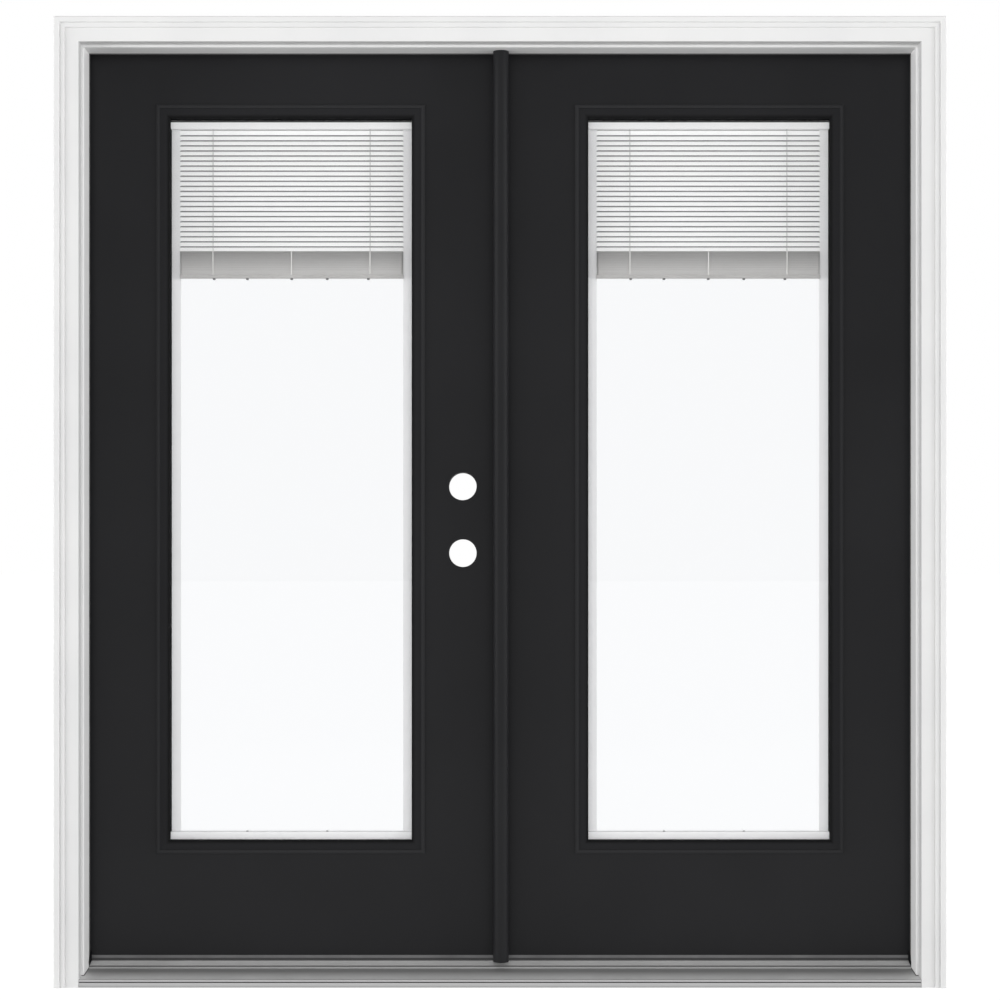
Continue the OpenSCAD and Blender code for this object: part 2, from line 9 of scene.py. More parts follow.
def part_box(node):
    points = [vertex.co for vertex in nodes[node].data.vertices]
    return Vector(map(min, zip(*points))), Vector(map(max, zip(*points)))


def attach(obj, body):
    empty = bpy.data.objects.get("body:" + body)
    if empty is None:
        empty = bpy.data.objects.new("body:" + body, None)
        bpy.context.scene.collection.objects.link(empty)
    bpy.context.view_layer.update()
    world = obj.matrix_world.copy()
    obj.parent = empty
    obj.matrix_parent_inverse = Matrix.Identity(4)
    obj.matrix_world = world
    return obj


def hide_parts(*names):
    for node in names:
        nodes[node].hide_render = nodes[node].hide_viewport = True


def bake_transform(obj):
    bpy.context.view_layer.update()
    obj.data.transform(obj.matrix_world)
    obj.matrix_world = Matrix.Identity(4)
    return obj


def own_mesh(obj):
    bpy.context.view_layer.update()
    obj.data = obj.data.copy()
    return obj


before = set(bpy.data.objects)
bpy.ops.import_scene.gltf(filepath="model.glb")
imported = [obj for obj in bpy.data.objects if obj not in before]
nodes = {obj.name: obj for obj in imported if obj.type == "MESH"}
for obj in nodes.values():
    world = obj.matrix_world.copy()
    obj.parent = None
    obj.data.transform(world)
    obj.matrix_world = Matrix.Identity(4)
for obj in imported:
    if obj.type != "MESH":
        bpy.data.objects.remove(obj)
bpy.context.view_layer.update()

# The studio: the doors stand on a pale floor in front of an even white surround, photographed
# square on from outside. The lens is level with the lock, and shifted up to take in the head.
scene = bpy.context.scene
scene.view_settings.view_transform = "Standard"
lens_height = 0.900
lens_distance = 4.10
front_face = -0.03175
frame_width = 2.1032
sensor_width = 36
head_room = 0.0605

camera = bpy.data.objects.new("camera", bpy.data.cameras.new("camera"))
scene.collection.objects.link(camera)
camera.location = (0.0, front_face - lens_distance, lens_height)
camera.rotation_euler = (math.radians(90), 0, 0)
camera.data.sensor_width = sensor_width
camera.data.lens = sensor_width * lens_distance / frame_width
camera.data.shift_y = head_room
scene.camera = camera


def join(tree, source, target):
    tree.links.new(source, target)


def feed(tree, socket, value):
    """Sets a socket to a number, or links another node's output to it."""
    if isinstance(value, (int, float)):
        socket.default_value = value
    else:
        join(tree, value, socket)


def maths(tree, operation, a, b):
    """The result of a Math node."""
    made = tree.nodes.new("ShaderNodeMath")
    made.operation = operation
    feed(tree, made.inputs[0], a)
    feed(tree, made.inputs[1], b)
    return made.outputs[0]


def spread(tree, value, low, high, to_low, to_high):
    """A value from low to high, mapped to the range from to_low to to_high."""
    made = tree.nodes.new("ShaderNodeMapRange")
    join(tree, value, made.inputs["Value"])
    for socket, number in (("From Min", low), ("From Max", high), ("To Min", to_low), ("To Max", to_high)):
        feed(tree, made.inputs[socket], number)
    return made.outputs["Result"]


def share_of(tree, factor, first, second):
    """First where the factor is 0 and second where it is 1, for values."""
    made = tree.nodes.new("ShaderNodeMix")
    join(tree, factor, made.inputs["Factor"])
    feed(tree, made.inputs["A"], first)
    feed(tree, made.inputs["B"], second)
    return made.outputs["Result"]


# The surround is white to the eye and through glass, and dimmer as light. In gloss it is a ring,
# bright at the sides and dim ahead and behind.
surround_light = 0.37
ring_dim, ring_bright = 0.30, 1.5
ring_starts, ring_ends = 0.85, 0.40
surround = bpy.data.worlds.new("white_surround")
surround.use_nodes = True
scene.world = surround
sky = surround.node_tree
sky_ray = sky.nodes.new("ShaderNodeLightPath").outputs
sky_seen = maths(sky, "MAXIMUM", sky_ray["Is Camera Ray"], sky_ray["Is Glossy Ray"])
sky_seen = maths(sky, "MAXIMUM", sky_seen, sky_ray["Is Transmission Ray"])
sky_mirrored = maths(sky, "SUBTRACT", sky_ray["Is Glossy Ray"], sky_ray["Is Transmission Ray"])
sky_mirrored = maths(sky, "MAXIMUM", sky_mirrored, 0)
sky_way = sky.nodes.new("ShaderNodeSeparateXYZ")
join(sky, sky.nodes.new("ShaderNodeTexCoord").outputs["Generated"], sky_way.inputs[0])
sky_ahead = maths(sky, "ABSOLUTE", sky_way.outputs["Y"], 0)
sky_ring = spread(sky, sky_ahead, ring_starts, ring_ends, ring_dim, ring_bright)
sky_level = share_of(sky, sky_seen, surround_light, share_of(sky, sky_mirrored, 1.0, sky_ring))
join(sky, sky_level, sky.nodes["Background"].inputs["Strength"])
sky.nodes["Background"].inputs["Color"].default_value = (1, 1, 1, 1)


def softbox(name, place, target, width, height, power):
    """A soft rectangular lamp that faces target and leaves no hard image in gloss or glass."""
    lamp = bpy.data.objects.new(name, bpy.data.lights.new(name, "AREA"))
    lamp.data.shape = "RECTANGLE"
    lamp.data.size = width
    lamp.data.size_y = height
    lamp.data.energy = power
    lamp.location = place
    lamp.rotation_euler = (Vector(target) - Vector(place)).to_track_quat("-Z", "Y").to_euler()
    lamp.visible_glossy = False
    lamp.visible_transmission = False
    scene.collection.objects.link(lamp)


softbox("left_softbox", (-12.0, -3.2, 1.1), (0, 0.05, 1.1), width=4.8, height=2.1, power=820)
softbox("right_softbox", (12.0, -3.2, 1.1), (0, 0.05, 1.1), width=4.8, height=2.1, power=820)
softbox("front_softbox", (0, -4.8, 2.6), (0, 0.05, 1.0), width=4.0, height=2.4, power=74)
softbox("back_softbox", (0, 5.6, 3.0), (0, 0.05, 1.0), width=4.0, height=2.4, power=110)

# The floor shows mostly its own white, so that it meets the surround, and keeps the shadow.
floor_tone = 0.88
white_to_the_eye = 0.85
white_as_light = 0.6
extra_to_the_eye = 0.14
floor_mesh = bpy.data.meshes.new("floor")
floor_mesh.from_pydata([(-80, -80, 0), (80, -80, 0), (80, 120, 0), (-80, 120, 0)], [], [(0, 1, 2, 3)])
floor = bpy.data.objects.new("floor", floor_mesh)
scene.collection.objects.link(floor)
floor_paint = bpy.data.materials.new("pale_floor")
floor_paint.use_nodes = True
floor_tree = floor_paint.node_tree
floor_matt = floor_tree.nodes["Principled BSDF"]
floor_matt.inputs["Base Color"].default_value = (floor_tone, floor_tone, floor_tone, 1)
floor_matt.inputs["Roughness"].default_value = 1.0
floor_matt.inputs["Specular IOR Level"].default_value = 0.0
floor_ray = floor_tree.nodes.new("ShaderNodeLightPath").outputs
floor_share = maths(floor_tree, "MULTIPLY", floor_ray["Is Camera Ray"], white_to_the_eye)
floor_share = maths(floor_tree, "ADD", floor_share, floor_ray["Is Transmission Ray"])
floor_share = maths(floor_tree, "MAXIMUM", floor_share, white_as_light)
floor_level = maths(floor_tree, "MULTIPLY", floor_ray["Is Camera Ray"], extra_to_the_eye)
floor_white = floor_tree.nodes.new("ShaderNodeEmission")
join(floor_tree, maths(floor_tree, "ADD", floor_level, 1.0), floor_white.inputs["Strength"])
floor_mix = floor_tree.nodes.new("ShaderNodeMixShader")
join(floor_tree, floor_share, floor_mix.inputs[0])
join(floor_tree, floor_matt.outputs[0], floor_mix.inputs[1])
join(floor_tree, floor_white.outputs[0], floor_mix.inputs[2])
join(floor_tree, floor_mix.outputs[0], floor_tree.nodes["Material Output"].inputs["Surface"])
floor_mesh.materials.append(floor_paint)


def effect(name, inputs, outputs):
    """A shader node group with named sockets, and its nodes, links, input and output."""
    tree = bpy.data.node_groups.new(name, "ShaderNodeTree")
    for socket, kind, value in inputs:
        made = tree.interface.new_socket(name=socket, in_out="INPUT", socket_type=kind)
        made.default_value = value
    for socket, kind in outputs:
        tree.interface.new_socket(name=socket, in_out="OUTPUT", socket_type=kind)
    return tree, tree.nodes.new("NodeGroupInput"), tree.nodes.new("NodeGroupOutput")


def noise(tree, place, scale, detail=3.0, stretch=None):
    """Noise over the piece's own coordinates, stretched where the grain runs one way."""
    made = tree.nodes.new("ShaderNodeTexNoise")
    made.inputs["Detail"].default_value = detail
    if stretch:
        mapping = tree.nodes.new("ShaderNodeMapping")
        mapping.inputs["Scale"].default_value = stretch
        join(tree, place, mapping.inputs["Vector"])
        place = mapping.outputs["Vector"]
    join(tree, place, made.inputs["Vector"])
    feed(tree, made.inputs["Scale"], scale)
    return made.outputs["Fac"]


def tinted(tree, mask, first, second):
    """First where the mask is 0 and second where it is 1, for colours."""
    made = tree.nodes.new("ShaderNodeMix")
    made.data_type = "RGBA"
    join(tree, mask, made.inputs["Factor"])
    for socket, value in ((made.inputs["A"], first), (made.inputs["B"], second)):
        if isinstance(value, (tuple, list)):
            socket.default_value = (*value[:3], 1)
        else:
            join(tree, value, socket)
    return made.outputs["Result"]


# Cloudy tone and fine grain of a coat or a moulded surface.
coat_film, film_in, film_out = effect(
    "coat_film",
    [("Dark tone", "NodeSocketColor", (0.7, 0.7, 0.7, 1)),
     ("Light tone", "NodeSocketColor", (0.8, 0.8, 0.8, 1)),
     ("Cloud scale", "NodeSocketFloat", 6.0), ("Grain scale", "NodeSocketFloat", 700.0),
     ("Roughness", "NodeSocketFloat", 0.5), ("Unevenness", "NodeSocketFloat", 0.08)],
    [("Colour", "NodeSocketColor"), ("Roughness", "NodeSocketFloat"), ("Height", "NodeSocketFloat")],
)
film_place = coat_film.nodes.new("ShaderNodeTexCoord").outputs["Object"]
film_cloud = noise(coat_film, film_place, film_in.outputs["Cloud scale"], 4.0)
film_grain = noise(coat_film, film_place, film_in.outputs["Grain scale"], 2.0)
film_tone = tinted(coat_film, spread(coat_film, film_cloud, 0.3, 0.7, 0.0, 1.0),
                   film_in.outputs["Dark tone"], film_in.outputs["Light tone"])
film_rough = film_in.outputs["Roughness"]
for film_part in (film_cloud, film_grain):
    film_swing = maths(coat_film, "SUBTRACT", film_part, 0.5)
    film_swing = maths(coat_film, "MULTIPLY", film_swing, film_in.outputs["Unevenness"])
    film_rough = maths(coat_film, "ADD", film_rough, film_swing)
join(coat_film, film_tone, film_out.inputs["Colour"])
join(coat_film, film_rough, film_out.inputs["Roughness"])
join(coat_film, film_grain, film_out.inputs["Height"])

# Dust that settles on faces turned up, in patches.
settled_dust, dust_in, dust_out = effect(
    "settled_dust",
    [("Amount", "NodeSocketFloat", 0.3), ("Patch scale", "NodeSocketFloat", 40.0)],
    [("Mask", "NodeSocketFloat")],
)
dust_place = settled_dust.nodes.new("ShaderNodeTexCoord").outputs["Object"]
dust_turn = settled_dust.nodes.new("ShaderNodeSeparateXYZ")
join(settled_dust, settled_dust.nodes.new("ShaderNodeNewGeometry").outputs["Normal"], dust_turn.inputs[0])
dust_up = spread(settled_dust, dust_turn.outputs["Z"], 0.55, 1.0, 0.0, 1.0)
dust_patch = noise(settled_dust, dust_place, dust_in.outputs["Patch scale"], 5.0)
dust_patch = spread(settled_dust, dust_patch, 0.35, 0.75, 0.2, 1.0)
dust_mask = maths(settled_dust, "MULTIPLY", dust_up, dust_patch)
dust_mask = maths(settled_dust, "MULTIPLY", dust_mask, dust_in.outputs["Amount"])
join(settled_dust, dust_mask, dust_out.inputs["Mask"])

# Rubbed arrises: a mask along the outside edges, broken up by noise.
rubbed_edge, rub_in, rub_out = effect(
    "rubbed_edge",
    [("Reach", "NodeSocketFloat", 0.0015), ("Amount", "NodeSocketFloat", 0.5)],
    [("Mask", "NodeSocketFloat")],
)
rub_place = rubbed_edge.nodes.new("ShaderNodeTexCoord").outputs["Object"]
rub_round = rubbed_edge.nodes.new("ShaderNodeBevel")
rub_round.samples = 4
join(rubbed_edge, rub_in.outputs["Reach"], rub_round.inputs["Radius"])
rub_dot = rubbed_edge.nodes.new("ShaderNodeVectorMath")
rub_dot.operation = "DOT_PRODUCT"
join(rubbed_edge, rub_round.outputs["Normal"], rub_dot.inputs[0])
join(rubbed_edge, rubbed_edge.nodes.new("ShaderNodeNewGeometry").outputs["Normal"], rub_dot.inputs[1])
rub_near = spread(rubbed_edge, rub_dot.outputs["Value"], 0.99, 0.82, 0.0, 1.0)
rub_break = spread(rubbed_edge, noise(rubbed_edge, rub_place, 90.0, 5.0), 0.35, 0.65, 0.25, 1.0)
rub_mask = maths(rubbed_edge, "MULTIPLY", rub_near, rub_break)
rub_mask = maths(rubbed_edge, "MULTIPLY", rub_mask, rub_in.outputs["Amount"])
join(rubbed_edge, rub_mask, rub_out.inputs["Mask"])


dust_tone = (0.42, 0.40, 0.37)


def coated(name, dark, light, rough, cloud, grain, bump, specular, worn=None, wear=0.4, reach=0.0015, dust=0.2):
    """A coat or a moulded surface: cloudy tone, fine grain, rubbed edges and a little dust."""
    material = bpy.data.materials.new(name)
    material.use_nodes = True
    tree = material.node_tree
    shader = tree.nodes["Principled BSDF"]
    film = tree.nodes.new("ShaderNodeGroup")
    film.node_tree = coat_film
    film.inputs["Dark tone"].default_value = (*dark, 1)
    film.inputs["Light tone"].default_value = (*light, 1)
    film.inputs["Cloud scale"].default_value = cloud
    film.inputs["Grain scale"].default_value = grain
    film.inputs["Roughness"].default_value = rough
    colour = film.outputs["Colour"]
    if worn:
        rub = tree.nodes.new("ShaderNodeGroup")
        rub.node_tree = rubbed_edge
        rub.inputs["Reach"].default_value = reach
        rub.inputs["Amount"].default_value = wear
        colour = tinted(tree, rub.outputs["Mask"], colour, worn)
    if dust:
        dusty = tree.nodes.new("ShaderNodeGroup")
        dusty.node_tree = settled_dust
        dusty.inputs["Amount"].default_value = dust
        colour = tinted(tree, dusty.outputs["Mask"], colour, dust_tone)
    join(tree, colour, shader.inputs["Base Color"])
    join(tree, film.outputs["Roughness"], shader.inputs["Roughness"])
    shader.inputs["Specular IOR Level"].default_value = specular
    relief = tree.nodes.new("ShaderNodeBump")
    relief.inputs["Strength"].default_value = bump
    relief.inputs["Distance"].default_value = 0.0003
    join(tree, film.outputs["Height"], relief.inputs["Height"])
    join(tree, relief.outputs["Normal"], shader.inputs["Normal"])
    return material


def dress(material, *names):
    """Puts a finish on every slot of the named nodes."""
    for name in names:
        for place in nodes[name].material_slots:
            place.material = material


composite = coated("composite_board", (0.30, 0.22, 0.14), (0.40, 0.31, 0.21), rough=0.75, cloud=30.0, grain=900.0,
                   bump=0.5, specular=0.25, worn=(0.5, 0.42, 0.32))
dress(composite, "sill_base")


# The sill deck and the threshold cap: extruded aluminium in a mill finish, with fine lines along
# the extrusion. The deck is snapped over the filler, and the cap is screwed down behind it.
drawn_lines, drawn_in, drawn_out = effect(
    "drawn_lines",
    [("Roughness", "NodeSocketFloat", 0.35), ("Line depth", "NodeSocketFloat", 0.1)],
    [("Shade", "NodeSocketFloat"), ("Roughness", "NodeSocketFloat"), ("Height", "NodeSocketFloat")],
)
drawn_place = drawn_lines.nodes.new("ShaderNodeTexCoord").outputs["Object"]
drawn_fine = noise(drawn_lines, drawn_place, 1.0, 2.0, (3.0, 1500.0, 1500.0))
drawn_stain = noise(drawn_lines, drawn_place, 9.0, 5.0)
join(drawn_lines, spread(drawn_lines, drawn_stain, 0.3, 0.7, 0.0, 1.0), drawn_out.inputs["Shade"])
drawn_swing = maths(drawn_lines, "SUBTRACT", drawn_fine, 0.5)
drawn_swing = maths(drawn_lines, "MULTIPLY", drawn_swing, drawn_in.outputs["Line depth"])
drawn_rough = maths(drawn_lines, "ADD", drawn_in.outputs["Roughness"], drawn_swing)
join(drawn_lines, drawn_rough, drawn_out.inputs["Roughness"])
join(drawn_lines, drawn_fine, drawn_out.inputs["Height"])
metal_dust_tone = (0.45, 0.43, 0.40)


def metal(name, dark, light, rough, lines, bump, metallic=1.0, dust=0.15):
    """Drawn or rolled metal: fine lines, faint stains and a little dust."""
    material = bpy.data.materials.new(name)
    material.use_nodes = True
    tree = material.node_tree
    shader = tree.nodes["Principled BSDF"]
    drawn = tree.nodes.new("ShaderNodeGroup")
    drawn.node_tree = drawn_lines
    drawn.inputs["Roughness"].default_value = rough
    drawn.inputs["Line depth"].default_value = lines
    dusty = tree.nodes.new("ShaderNodeGroup")
    dusty.node_tree = settled_dust
    dusty.inputs["Amount"].default_value = dust
    tone = tinted(tree, drawn.outputs["Shade"], dark, light)
    join(tree, tinted(tree, dusty.outputs["Mask"], tone, metal_dust_tone), shader.inputs["Base Color"])
    join(tree, drawn.outputs["Roughness"], shader.inputs["Roughness"])
    shader.inputs["Metallic"].default_value = metallic
    relief = tree.nodes.new("ShaderNodeBump")
    relief.inputs["Strength"].default_value = bump
    relief.inputs["Distance"].default_value = 0.0002
    join(tree, drawn.outputs["Height"], relief.inputs["Height"])
    join(tree, relief.outputs["Normal"], shader.inputs["Normal"])
    return material


def toned(material, axis, low, high, tone, within=None):
    """Changes a finish along an axis: not at low, wholly at high, and only within (axis, start, end)."""
    tree = material.node_tree
    shader = tree.nodes["Principled BSDF"]
    place = tree.nodes.new("ShaderNodeSeparateXYZ")
    join(tree, tree.nodes.new("ShaderNodeTexCoord").outputs["Object"], place.inputs[0])
    mask = spread(tree, place.outputs[axis], low, high, 0.0, 1.0)
    if within:
        other, start, end = within
        mask = maths(tree, "MULTIPLY", mask, maths(tree, "GREATER_THAN", place.outputs[other], start))
        mask = maths(tree, "MULTIPLY", mask, maths(tree, "LESS_THAN", place.outputs[other], end))
    plain = shader.inputs["Base Color"].links[0].from_socket
    join(tree, tinted(tree, mask, plain, tone), shader.inputs["Base Color"])


def grey(level):
    return (level, level, level)


mill_aluminium = metal("mill_aluminium", grey(0.74), grey(0.82), rough=0.42, lines=0.15, bump=0.15, metallic=0.25)
cap_aluminium = metal("cap_aluminium", grey(0.62), grey(0.70), rough=0.42, lines=0.15, bump=0.15, metallic=0.25)
# Painted reflection of the dark leaves: the deck's slope turns a darker grey towards the back, under the leaves.
deck_reflection_starts, deck_reflection_full, upstand = -0.010, 0.028, 0.0455
nose_top, nose_face, groove_back = -0.020, -0.025, -0.0268
toned(mill_aluminium, "Y", deck_reflection_starts, deck_reflection_full, grey(0.28), within=("Y", -0.05, upstand))
# Painted shade: the deck's upstand behind the slope is a darker grey.
toned(mill_aluminium, "Y", upstand - 0.0003, upstand + 0.0001, grey(0.42))
# Painted shade: the front face of the deck's nose is a darker grey.
toned(mill_aluminium, "Y", nose_top, nose_face, grey(0.50))
# Painted shade: the back of the groove in the nose is near black.
toned(mill_aluminium, "Y", groove_back - 0.0004, groove_back, grey(0.03), within=("Z", 0.0105, 0.0134))
toned(mill_aluminium, "Z", 0.0046, 0.0043, grey(0.36), within=("Z", 0.0022, 0.006))
cap_front_top = 0.0318
# Painted shade: the cap's front face, below its sloped top, is a dark grey.
toned(cap_aluminium, "Z", cap_front_top, cap_front_top - 0.0006, grey(0.14))
dress(mill_aluminium, "sill_deck")
dress(cap_aluminium, "threshold_cap")


# The jambs: finger-jointed wood with the stop worked in one piece, primed and painted white. The
# head is let in between the legs and nailed through them. The faces at the wall are only primed.
jamb_back = 0.914
head_back = 2.020
primer = (0.60, 0.60, 0.59)


def painted_white(name):
    return coated(name, grey(0.735), (0.775, 0.775, 0.771), rough=0.42, cloud=5.0, grain=650.0, bump=0.12,
                  specular=0.35, worn=(0.84, 0.84, 0.83), wear=0.08, dust=0.08)


jamb_paint = painted_white("jamb_paint")
toned(jamb_paint, "X", jamb_back - 0.0004, jamb_back - 0.0001, primer)
toned(jamb_paint, "X", 0.0004 - jamb_back, 0.0001 - jamb_back, primer)
toned(jamb_paint, "Z", head_back - 0.0004, head_back - 0.0001, primer)
dress(jamb_paint, "left_jamb", "right_jamb", "head_jamb")


# The brickmould: a milled outside trim with two quirks, mitred at the corners and nailed to the
# edge of the jambs. It has the same paint, with painted shade in grey on the edge around the opening.
shaded_mould_edges = (("left", "X", -0.8885, -0.8878), ("right", "X", 0.8885, 0.8878), ("head", "Z", 1.9945, 1.9938))
for side, axis, face, edge in shaded_mould_edges:
    mould_paint_and_shade = painted_white(f"{side}_mould_paint_and_shade")
    # Painted shade: the edge around the opening is grey.
    toned(mould_paint_and_shade, axis, face, edge, grey(0.56))
    dress(mould_paint_and_shade, f"{side}_brickmould")


# The weatherstrips: soft foam in a smooth dark skin, with a barbed fin pushed into a kerf of the
# stop. A wedge of the same foam is stuck in each lower corner.
strip_skin = coated("strip_skin", (0.105, 0.105, 0.106), (0.130, 0.130, 0.131), rough=0.6, cloud=20.0, grain=1200.0,
                    bump=0.3, specular=0.3, dust=0.1)
dress(strip_skin, "left_weatherstrip", "right_weatherstrip", "head_weatherstrip")
dark_foam = coated("dark_foam", (0.009, 0.009, 0.010), (0.014, 0.014, 0.015), rough=0.9, cloud=20.0, grain=1200.0,
                   bump=0.4, specular=0.0, dust=0.0)
pad_outline = [(0.0484, 0.0318), (0.0640, 0.0371), (0.0706, 0.0378),
               (0.0706, 0.0585), (0.0640, 0.0570), (0.0484, 0.0400)]
pad_back, pad_face = 0.8818, 0.8796


def piece(name, mesh_maker, material, body=None, smooth=40):
    """A new object from a bmesh that mesh_maker fills, in its finish and on its body."""
    shape = bmesh.new()
    mesh_maker(shape)
    bmesh.ops.recalc_face_normals(shape, faces=shape.faces)
    mesh = bpy.data.meshes.new(name)
    shape.to_mesh(mesh)
    shape.free()
    mesh.materials.append(material)
    mesh.shade_smooth()
    mesh.set_sharp_from_angle(angle=math.radians(smooth))
    made = bpy.data.objects.new(name, mesh)
    scene.collection.objects.link(made)
    if body:
        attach(made, body)
    return made


def corner_pads(shape):
    """A wedge on the cap at each jamb, under the end of the strip, with its arrises rounded."""
    for side in (-1, 1):
        ends = [[shape.verts.new((side * x, y, z)) for y, z in pad_outline] for x in (pad_back, pad_face)]
        faces = [shape.faces.new(ends[0]), shape.faces.new(ends[1])]
        for k in range(len(pad_outline)):
            n = (k + 1) % len(pad_outline)
            faces.append(shape.faces.new((ends[0][k], ends[0][n], ends[1][n], ends[1][k])))
        edges = list({e for f in faces for e in f.edges})
        bmesh.ops.bevel(shape, geom=edges, offset=0.0006, segments=3, affect="EDGES", profile=0.6)


piece("corner_pads", corner_pads, dark_foam, "frame")


# The sealant: a dark bead run along the foot of each jamb, where the end grain stands on the
# sloped deck.
sealant_rubber = coated("sealant_rubber", (0.020, 0.020, 0.021), (0.032, 0.032, 0.033), rough=0.55, cloud=60.0,
                        grain=900.0, bump=0.4, specular=0.3, dust=0.2)
sealant_radius = 0.0010
deck_slope = 0.12465
deck_nose_y, deck_nose_z = -0.0262, 0.0172


def tube(shape, points, radius, turns=10):
    """A round bead along a line of points, a little uneven in its width."""
    rings = []
    for k, point in enumerate(points):
        way = (points[min(k + 1, len(points) - 1)] - points[max(k - 1, 0)]).normalized()
        side = way.cross(Vector((0, 0, 1))).normalized()
        rise = side.cross(way)
        reach = radius * (1 + 0.15 * math.sin(2.1 * k) * math.sin(0.7 * k + 1))
        rings.append([shape.verts.new(point + (side * math.cos(a) + rise * math.sin(a)) * reach)
                      for a in (2 * math.pi * t / turns for t in range(turns))])
    for a, b in zip(rings, rings[1:]):
        for t in range(turns):
            n = (t + 1) % turns
            shape.faces.new((a[t], a[n], b[n], b[t]))
    shape.faces.new(list(reversed(rings[0])))
    shape.faces.new(rings[-1])


def jamb_sealant(shape):
    """The bead runs down the stop's foot and turns along the jamb's outside edge."""
    for side in (-1, 1):
        line = [(0.8817, 0.046 - 0.002 * k) for k in range(23)]
        line += [(0.8820, 0.0006), (0.8828, -0.0003), (0.8842, -0.0005), (0.8856, -0.0005), (0.8868, -0.0005)]
        points = [Vector((side * x, y, deck_nose_z + deck_slope * (y - deck_nose_y))) for x, y in line]
        tube(shape, points, sealant_radius)


piece("jamb_sealant", jamb_sealant, sealant_rubber, "frame")


# The hinges: steel butts with five knuckles on a loose pin, one leaf let into the jamb and one
# into the door's edge. Each leaf is held with four countersunk screws.
satin_steel = metal("satin_steel", (0.50, 0.49, 0.47), (0.60, 0.59, 0.57), rough=0.32, lines=0.12, bump=0.1)
screw_radius = 0.0042
screw_rise = 0.0004
screw_rows = ((0.13, 0.094), (0.38, 0.082), (0.62, 0.094), (0.87, 0.082))
hinge_spacing = 0.2
jamb_leaf_face = 0.895
door_leaf_face = 0.892
dress(satin_steel, "left_frame_hinge_leaves", "right_frame_hinge_leaves", "left_hinge_pins", "right_hinge_pins",
      "active_hinge_leaves", "passive_hinge_leaves")


def screw_head(shape, centre, axis, radius, rise):
    """A lens head with a cross recess, its rim at centre and its crown towards axis."""
    axis = Vector(axis).normalized()
    side = axis.orthogonal().normalized()
    other = axis.cross(side)
    rings = []
    turns = 32
    for k in range(9):
        r = radius * (1 - k / 8)
        ring = []
        for t in range(turns):
            a = 2 * math.pi * t / turns
            u, v = r * math.cos(a), r * math.sin(a)
            h = rise * (1 - (r / radius) ** 2)
            arm = min(abs(u), abs(v))
            if arm < 0.13 * radius and r < 0.62 * radius:
                h -= 0.35 * radius * (1 - r / radius)
            ring.append(shape.verts.new(Vector(centre) + side * u + other * v + axis * h))
            if k == 8:
                break
        rings.append(ring)
    for a, b in zip(rings, rings[1:]):
        for t in range(turns):
            n = (t + 1) % turns
            if len(b) == 1:
                shape.faces.new((a[t], a[n], b[0]))
            else:
                shape.faces.new((a[t], a[n], b[n], b[t]))


def hinge_screws(node, face, axis):
    """Four screws in each leaf of a hinge node, staggered in two rows."""
    heights = sorted({round(v.co.z, 3) for v in nodes[node].data.vertices})
    spans = []
    for z in heights:
        if not spans or z - spans[-1][1] > hinge_spacing:
            spans.append([z, z])
        spans[-1][1] = z

    def drive(shape):
        for foot, top in spans:
            for step, depth in screw_rows:
                screw_head(shape, (face, depth, foot + step * (top - foot)), (axis, 0, 0), screw_radius, screw_rise)
    return drive


for side, door, sign in (("left", "active", 1), ("right", "passive", -1)):
    jamb_screws = hinge_screws(f"{side}_frame_hinge_leaves", -jamb_leaf_face * sign, sign)
    door_screws = hinge_screws(f"{door}_hinge_leaves", -door_leaf_face * sign, -sign)
    piece(f"{side}_frame_hinge_screws", jamb_screws, satin_steel, "frame")
    piece(f"{door}_hinge_screws", door_screws, satin_steel, f"{door}_door")


# The strikes of the flush bolts: small steel plates let into the head jamb and the cap, each
# with a hole for the bolt.
dress(satin_steel, "head_bolt_strike", "foot_bolt_strike")


# The leaves: wood stiles and rails around a foam core, skinned on both sides with smooth
# moulded sheets that are painted charcoal black together with the edges.
charcoal = coated("charcoal_paint", (0.0097, 0.0098, 0.0109), (0.0125, 0.0126, 0.0139), rough=0.44, cloud=2.5,
                  grain=420.0, bump=0.18, specular=0.24, worn=(0.05, 0.05, 0.052), wear=0.25, reach=0.0012, dust=0.05)
edge_wood = coated("painted_edge_wood", (0.011, 0.011, 0.0115), (0.016, 0.016, 0.017), rough=0.55, cloud=14.0,
                   grain=260.0, bump=0.4, specular=0.15, dust=0.05)
white_foam = coated("insulating_foam", (0.62, 0.58, 0.46), (0.72, 0.68, 0.55), rough=0.9, cloud=60.0, grain=1400.0,
                    bump=0.8, specular=0.1)
for door in ("active", "passive"):
    dress(edge_wood, *(f"{door}_{n}" for n in ("hinge_stile", "lock_stile", "top_rail", "bottom_rail")))
    dress(white_foam, f"{door}_core")
    dress(charcoal, f"{door}_exterior_skin", f"{door}_interior_skin")


# The light frames: moulded plastic rings with a bead, a quirk, a flat and an ovolo, one on each
# side of the glass, drawn together by screws under round plugs on the inside.
frame_plastic = coated("frame_plastic", (0.0150, 0.0151, 0.0164), (0.0178, 0.0179, 0.0194), rough=0.5, cloud=2.5,
                       grain=500.0, bump=0.15, specular=0.10, dust=0.04)
light_middle_x, light_half_width = 0.45125, 0.290
light_middle_z, light_half_height = 1.0755, 0.8075
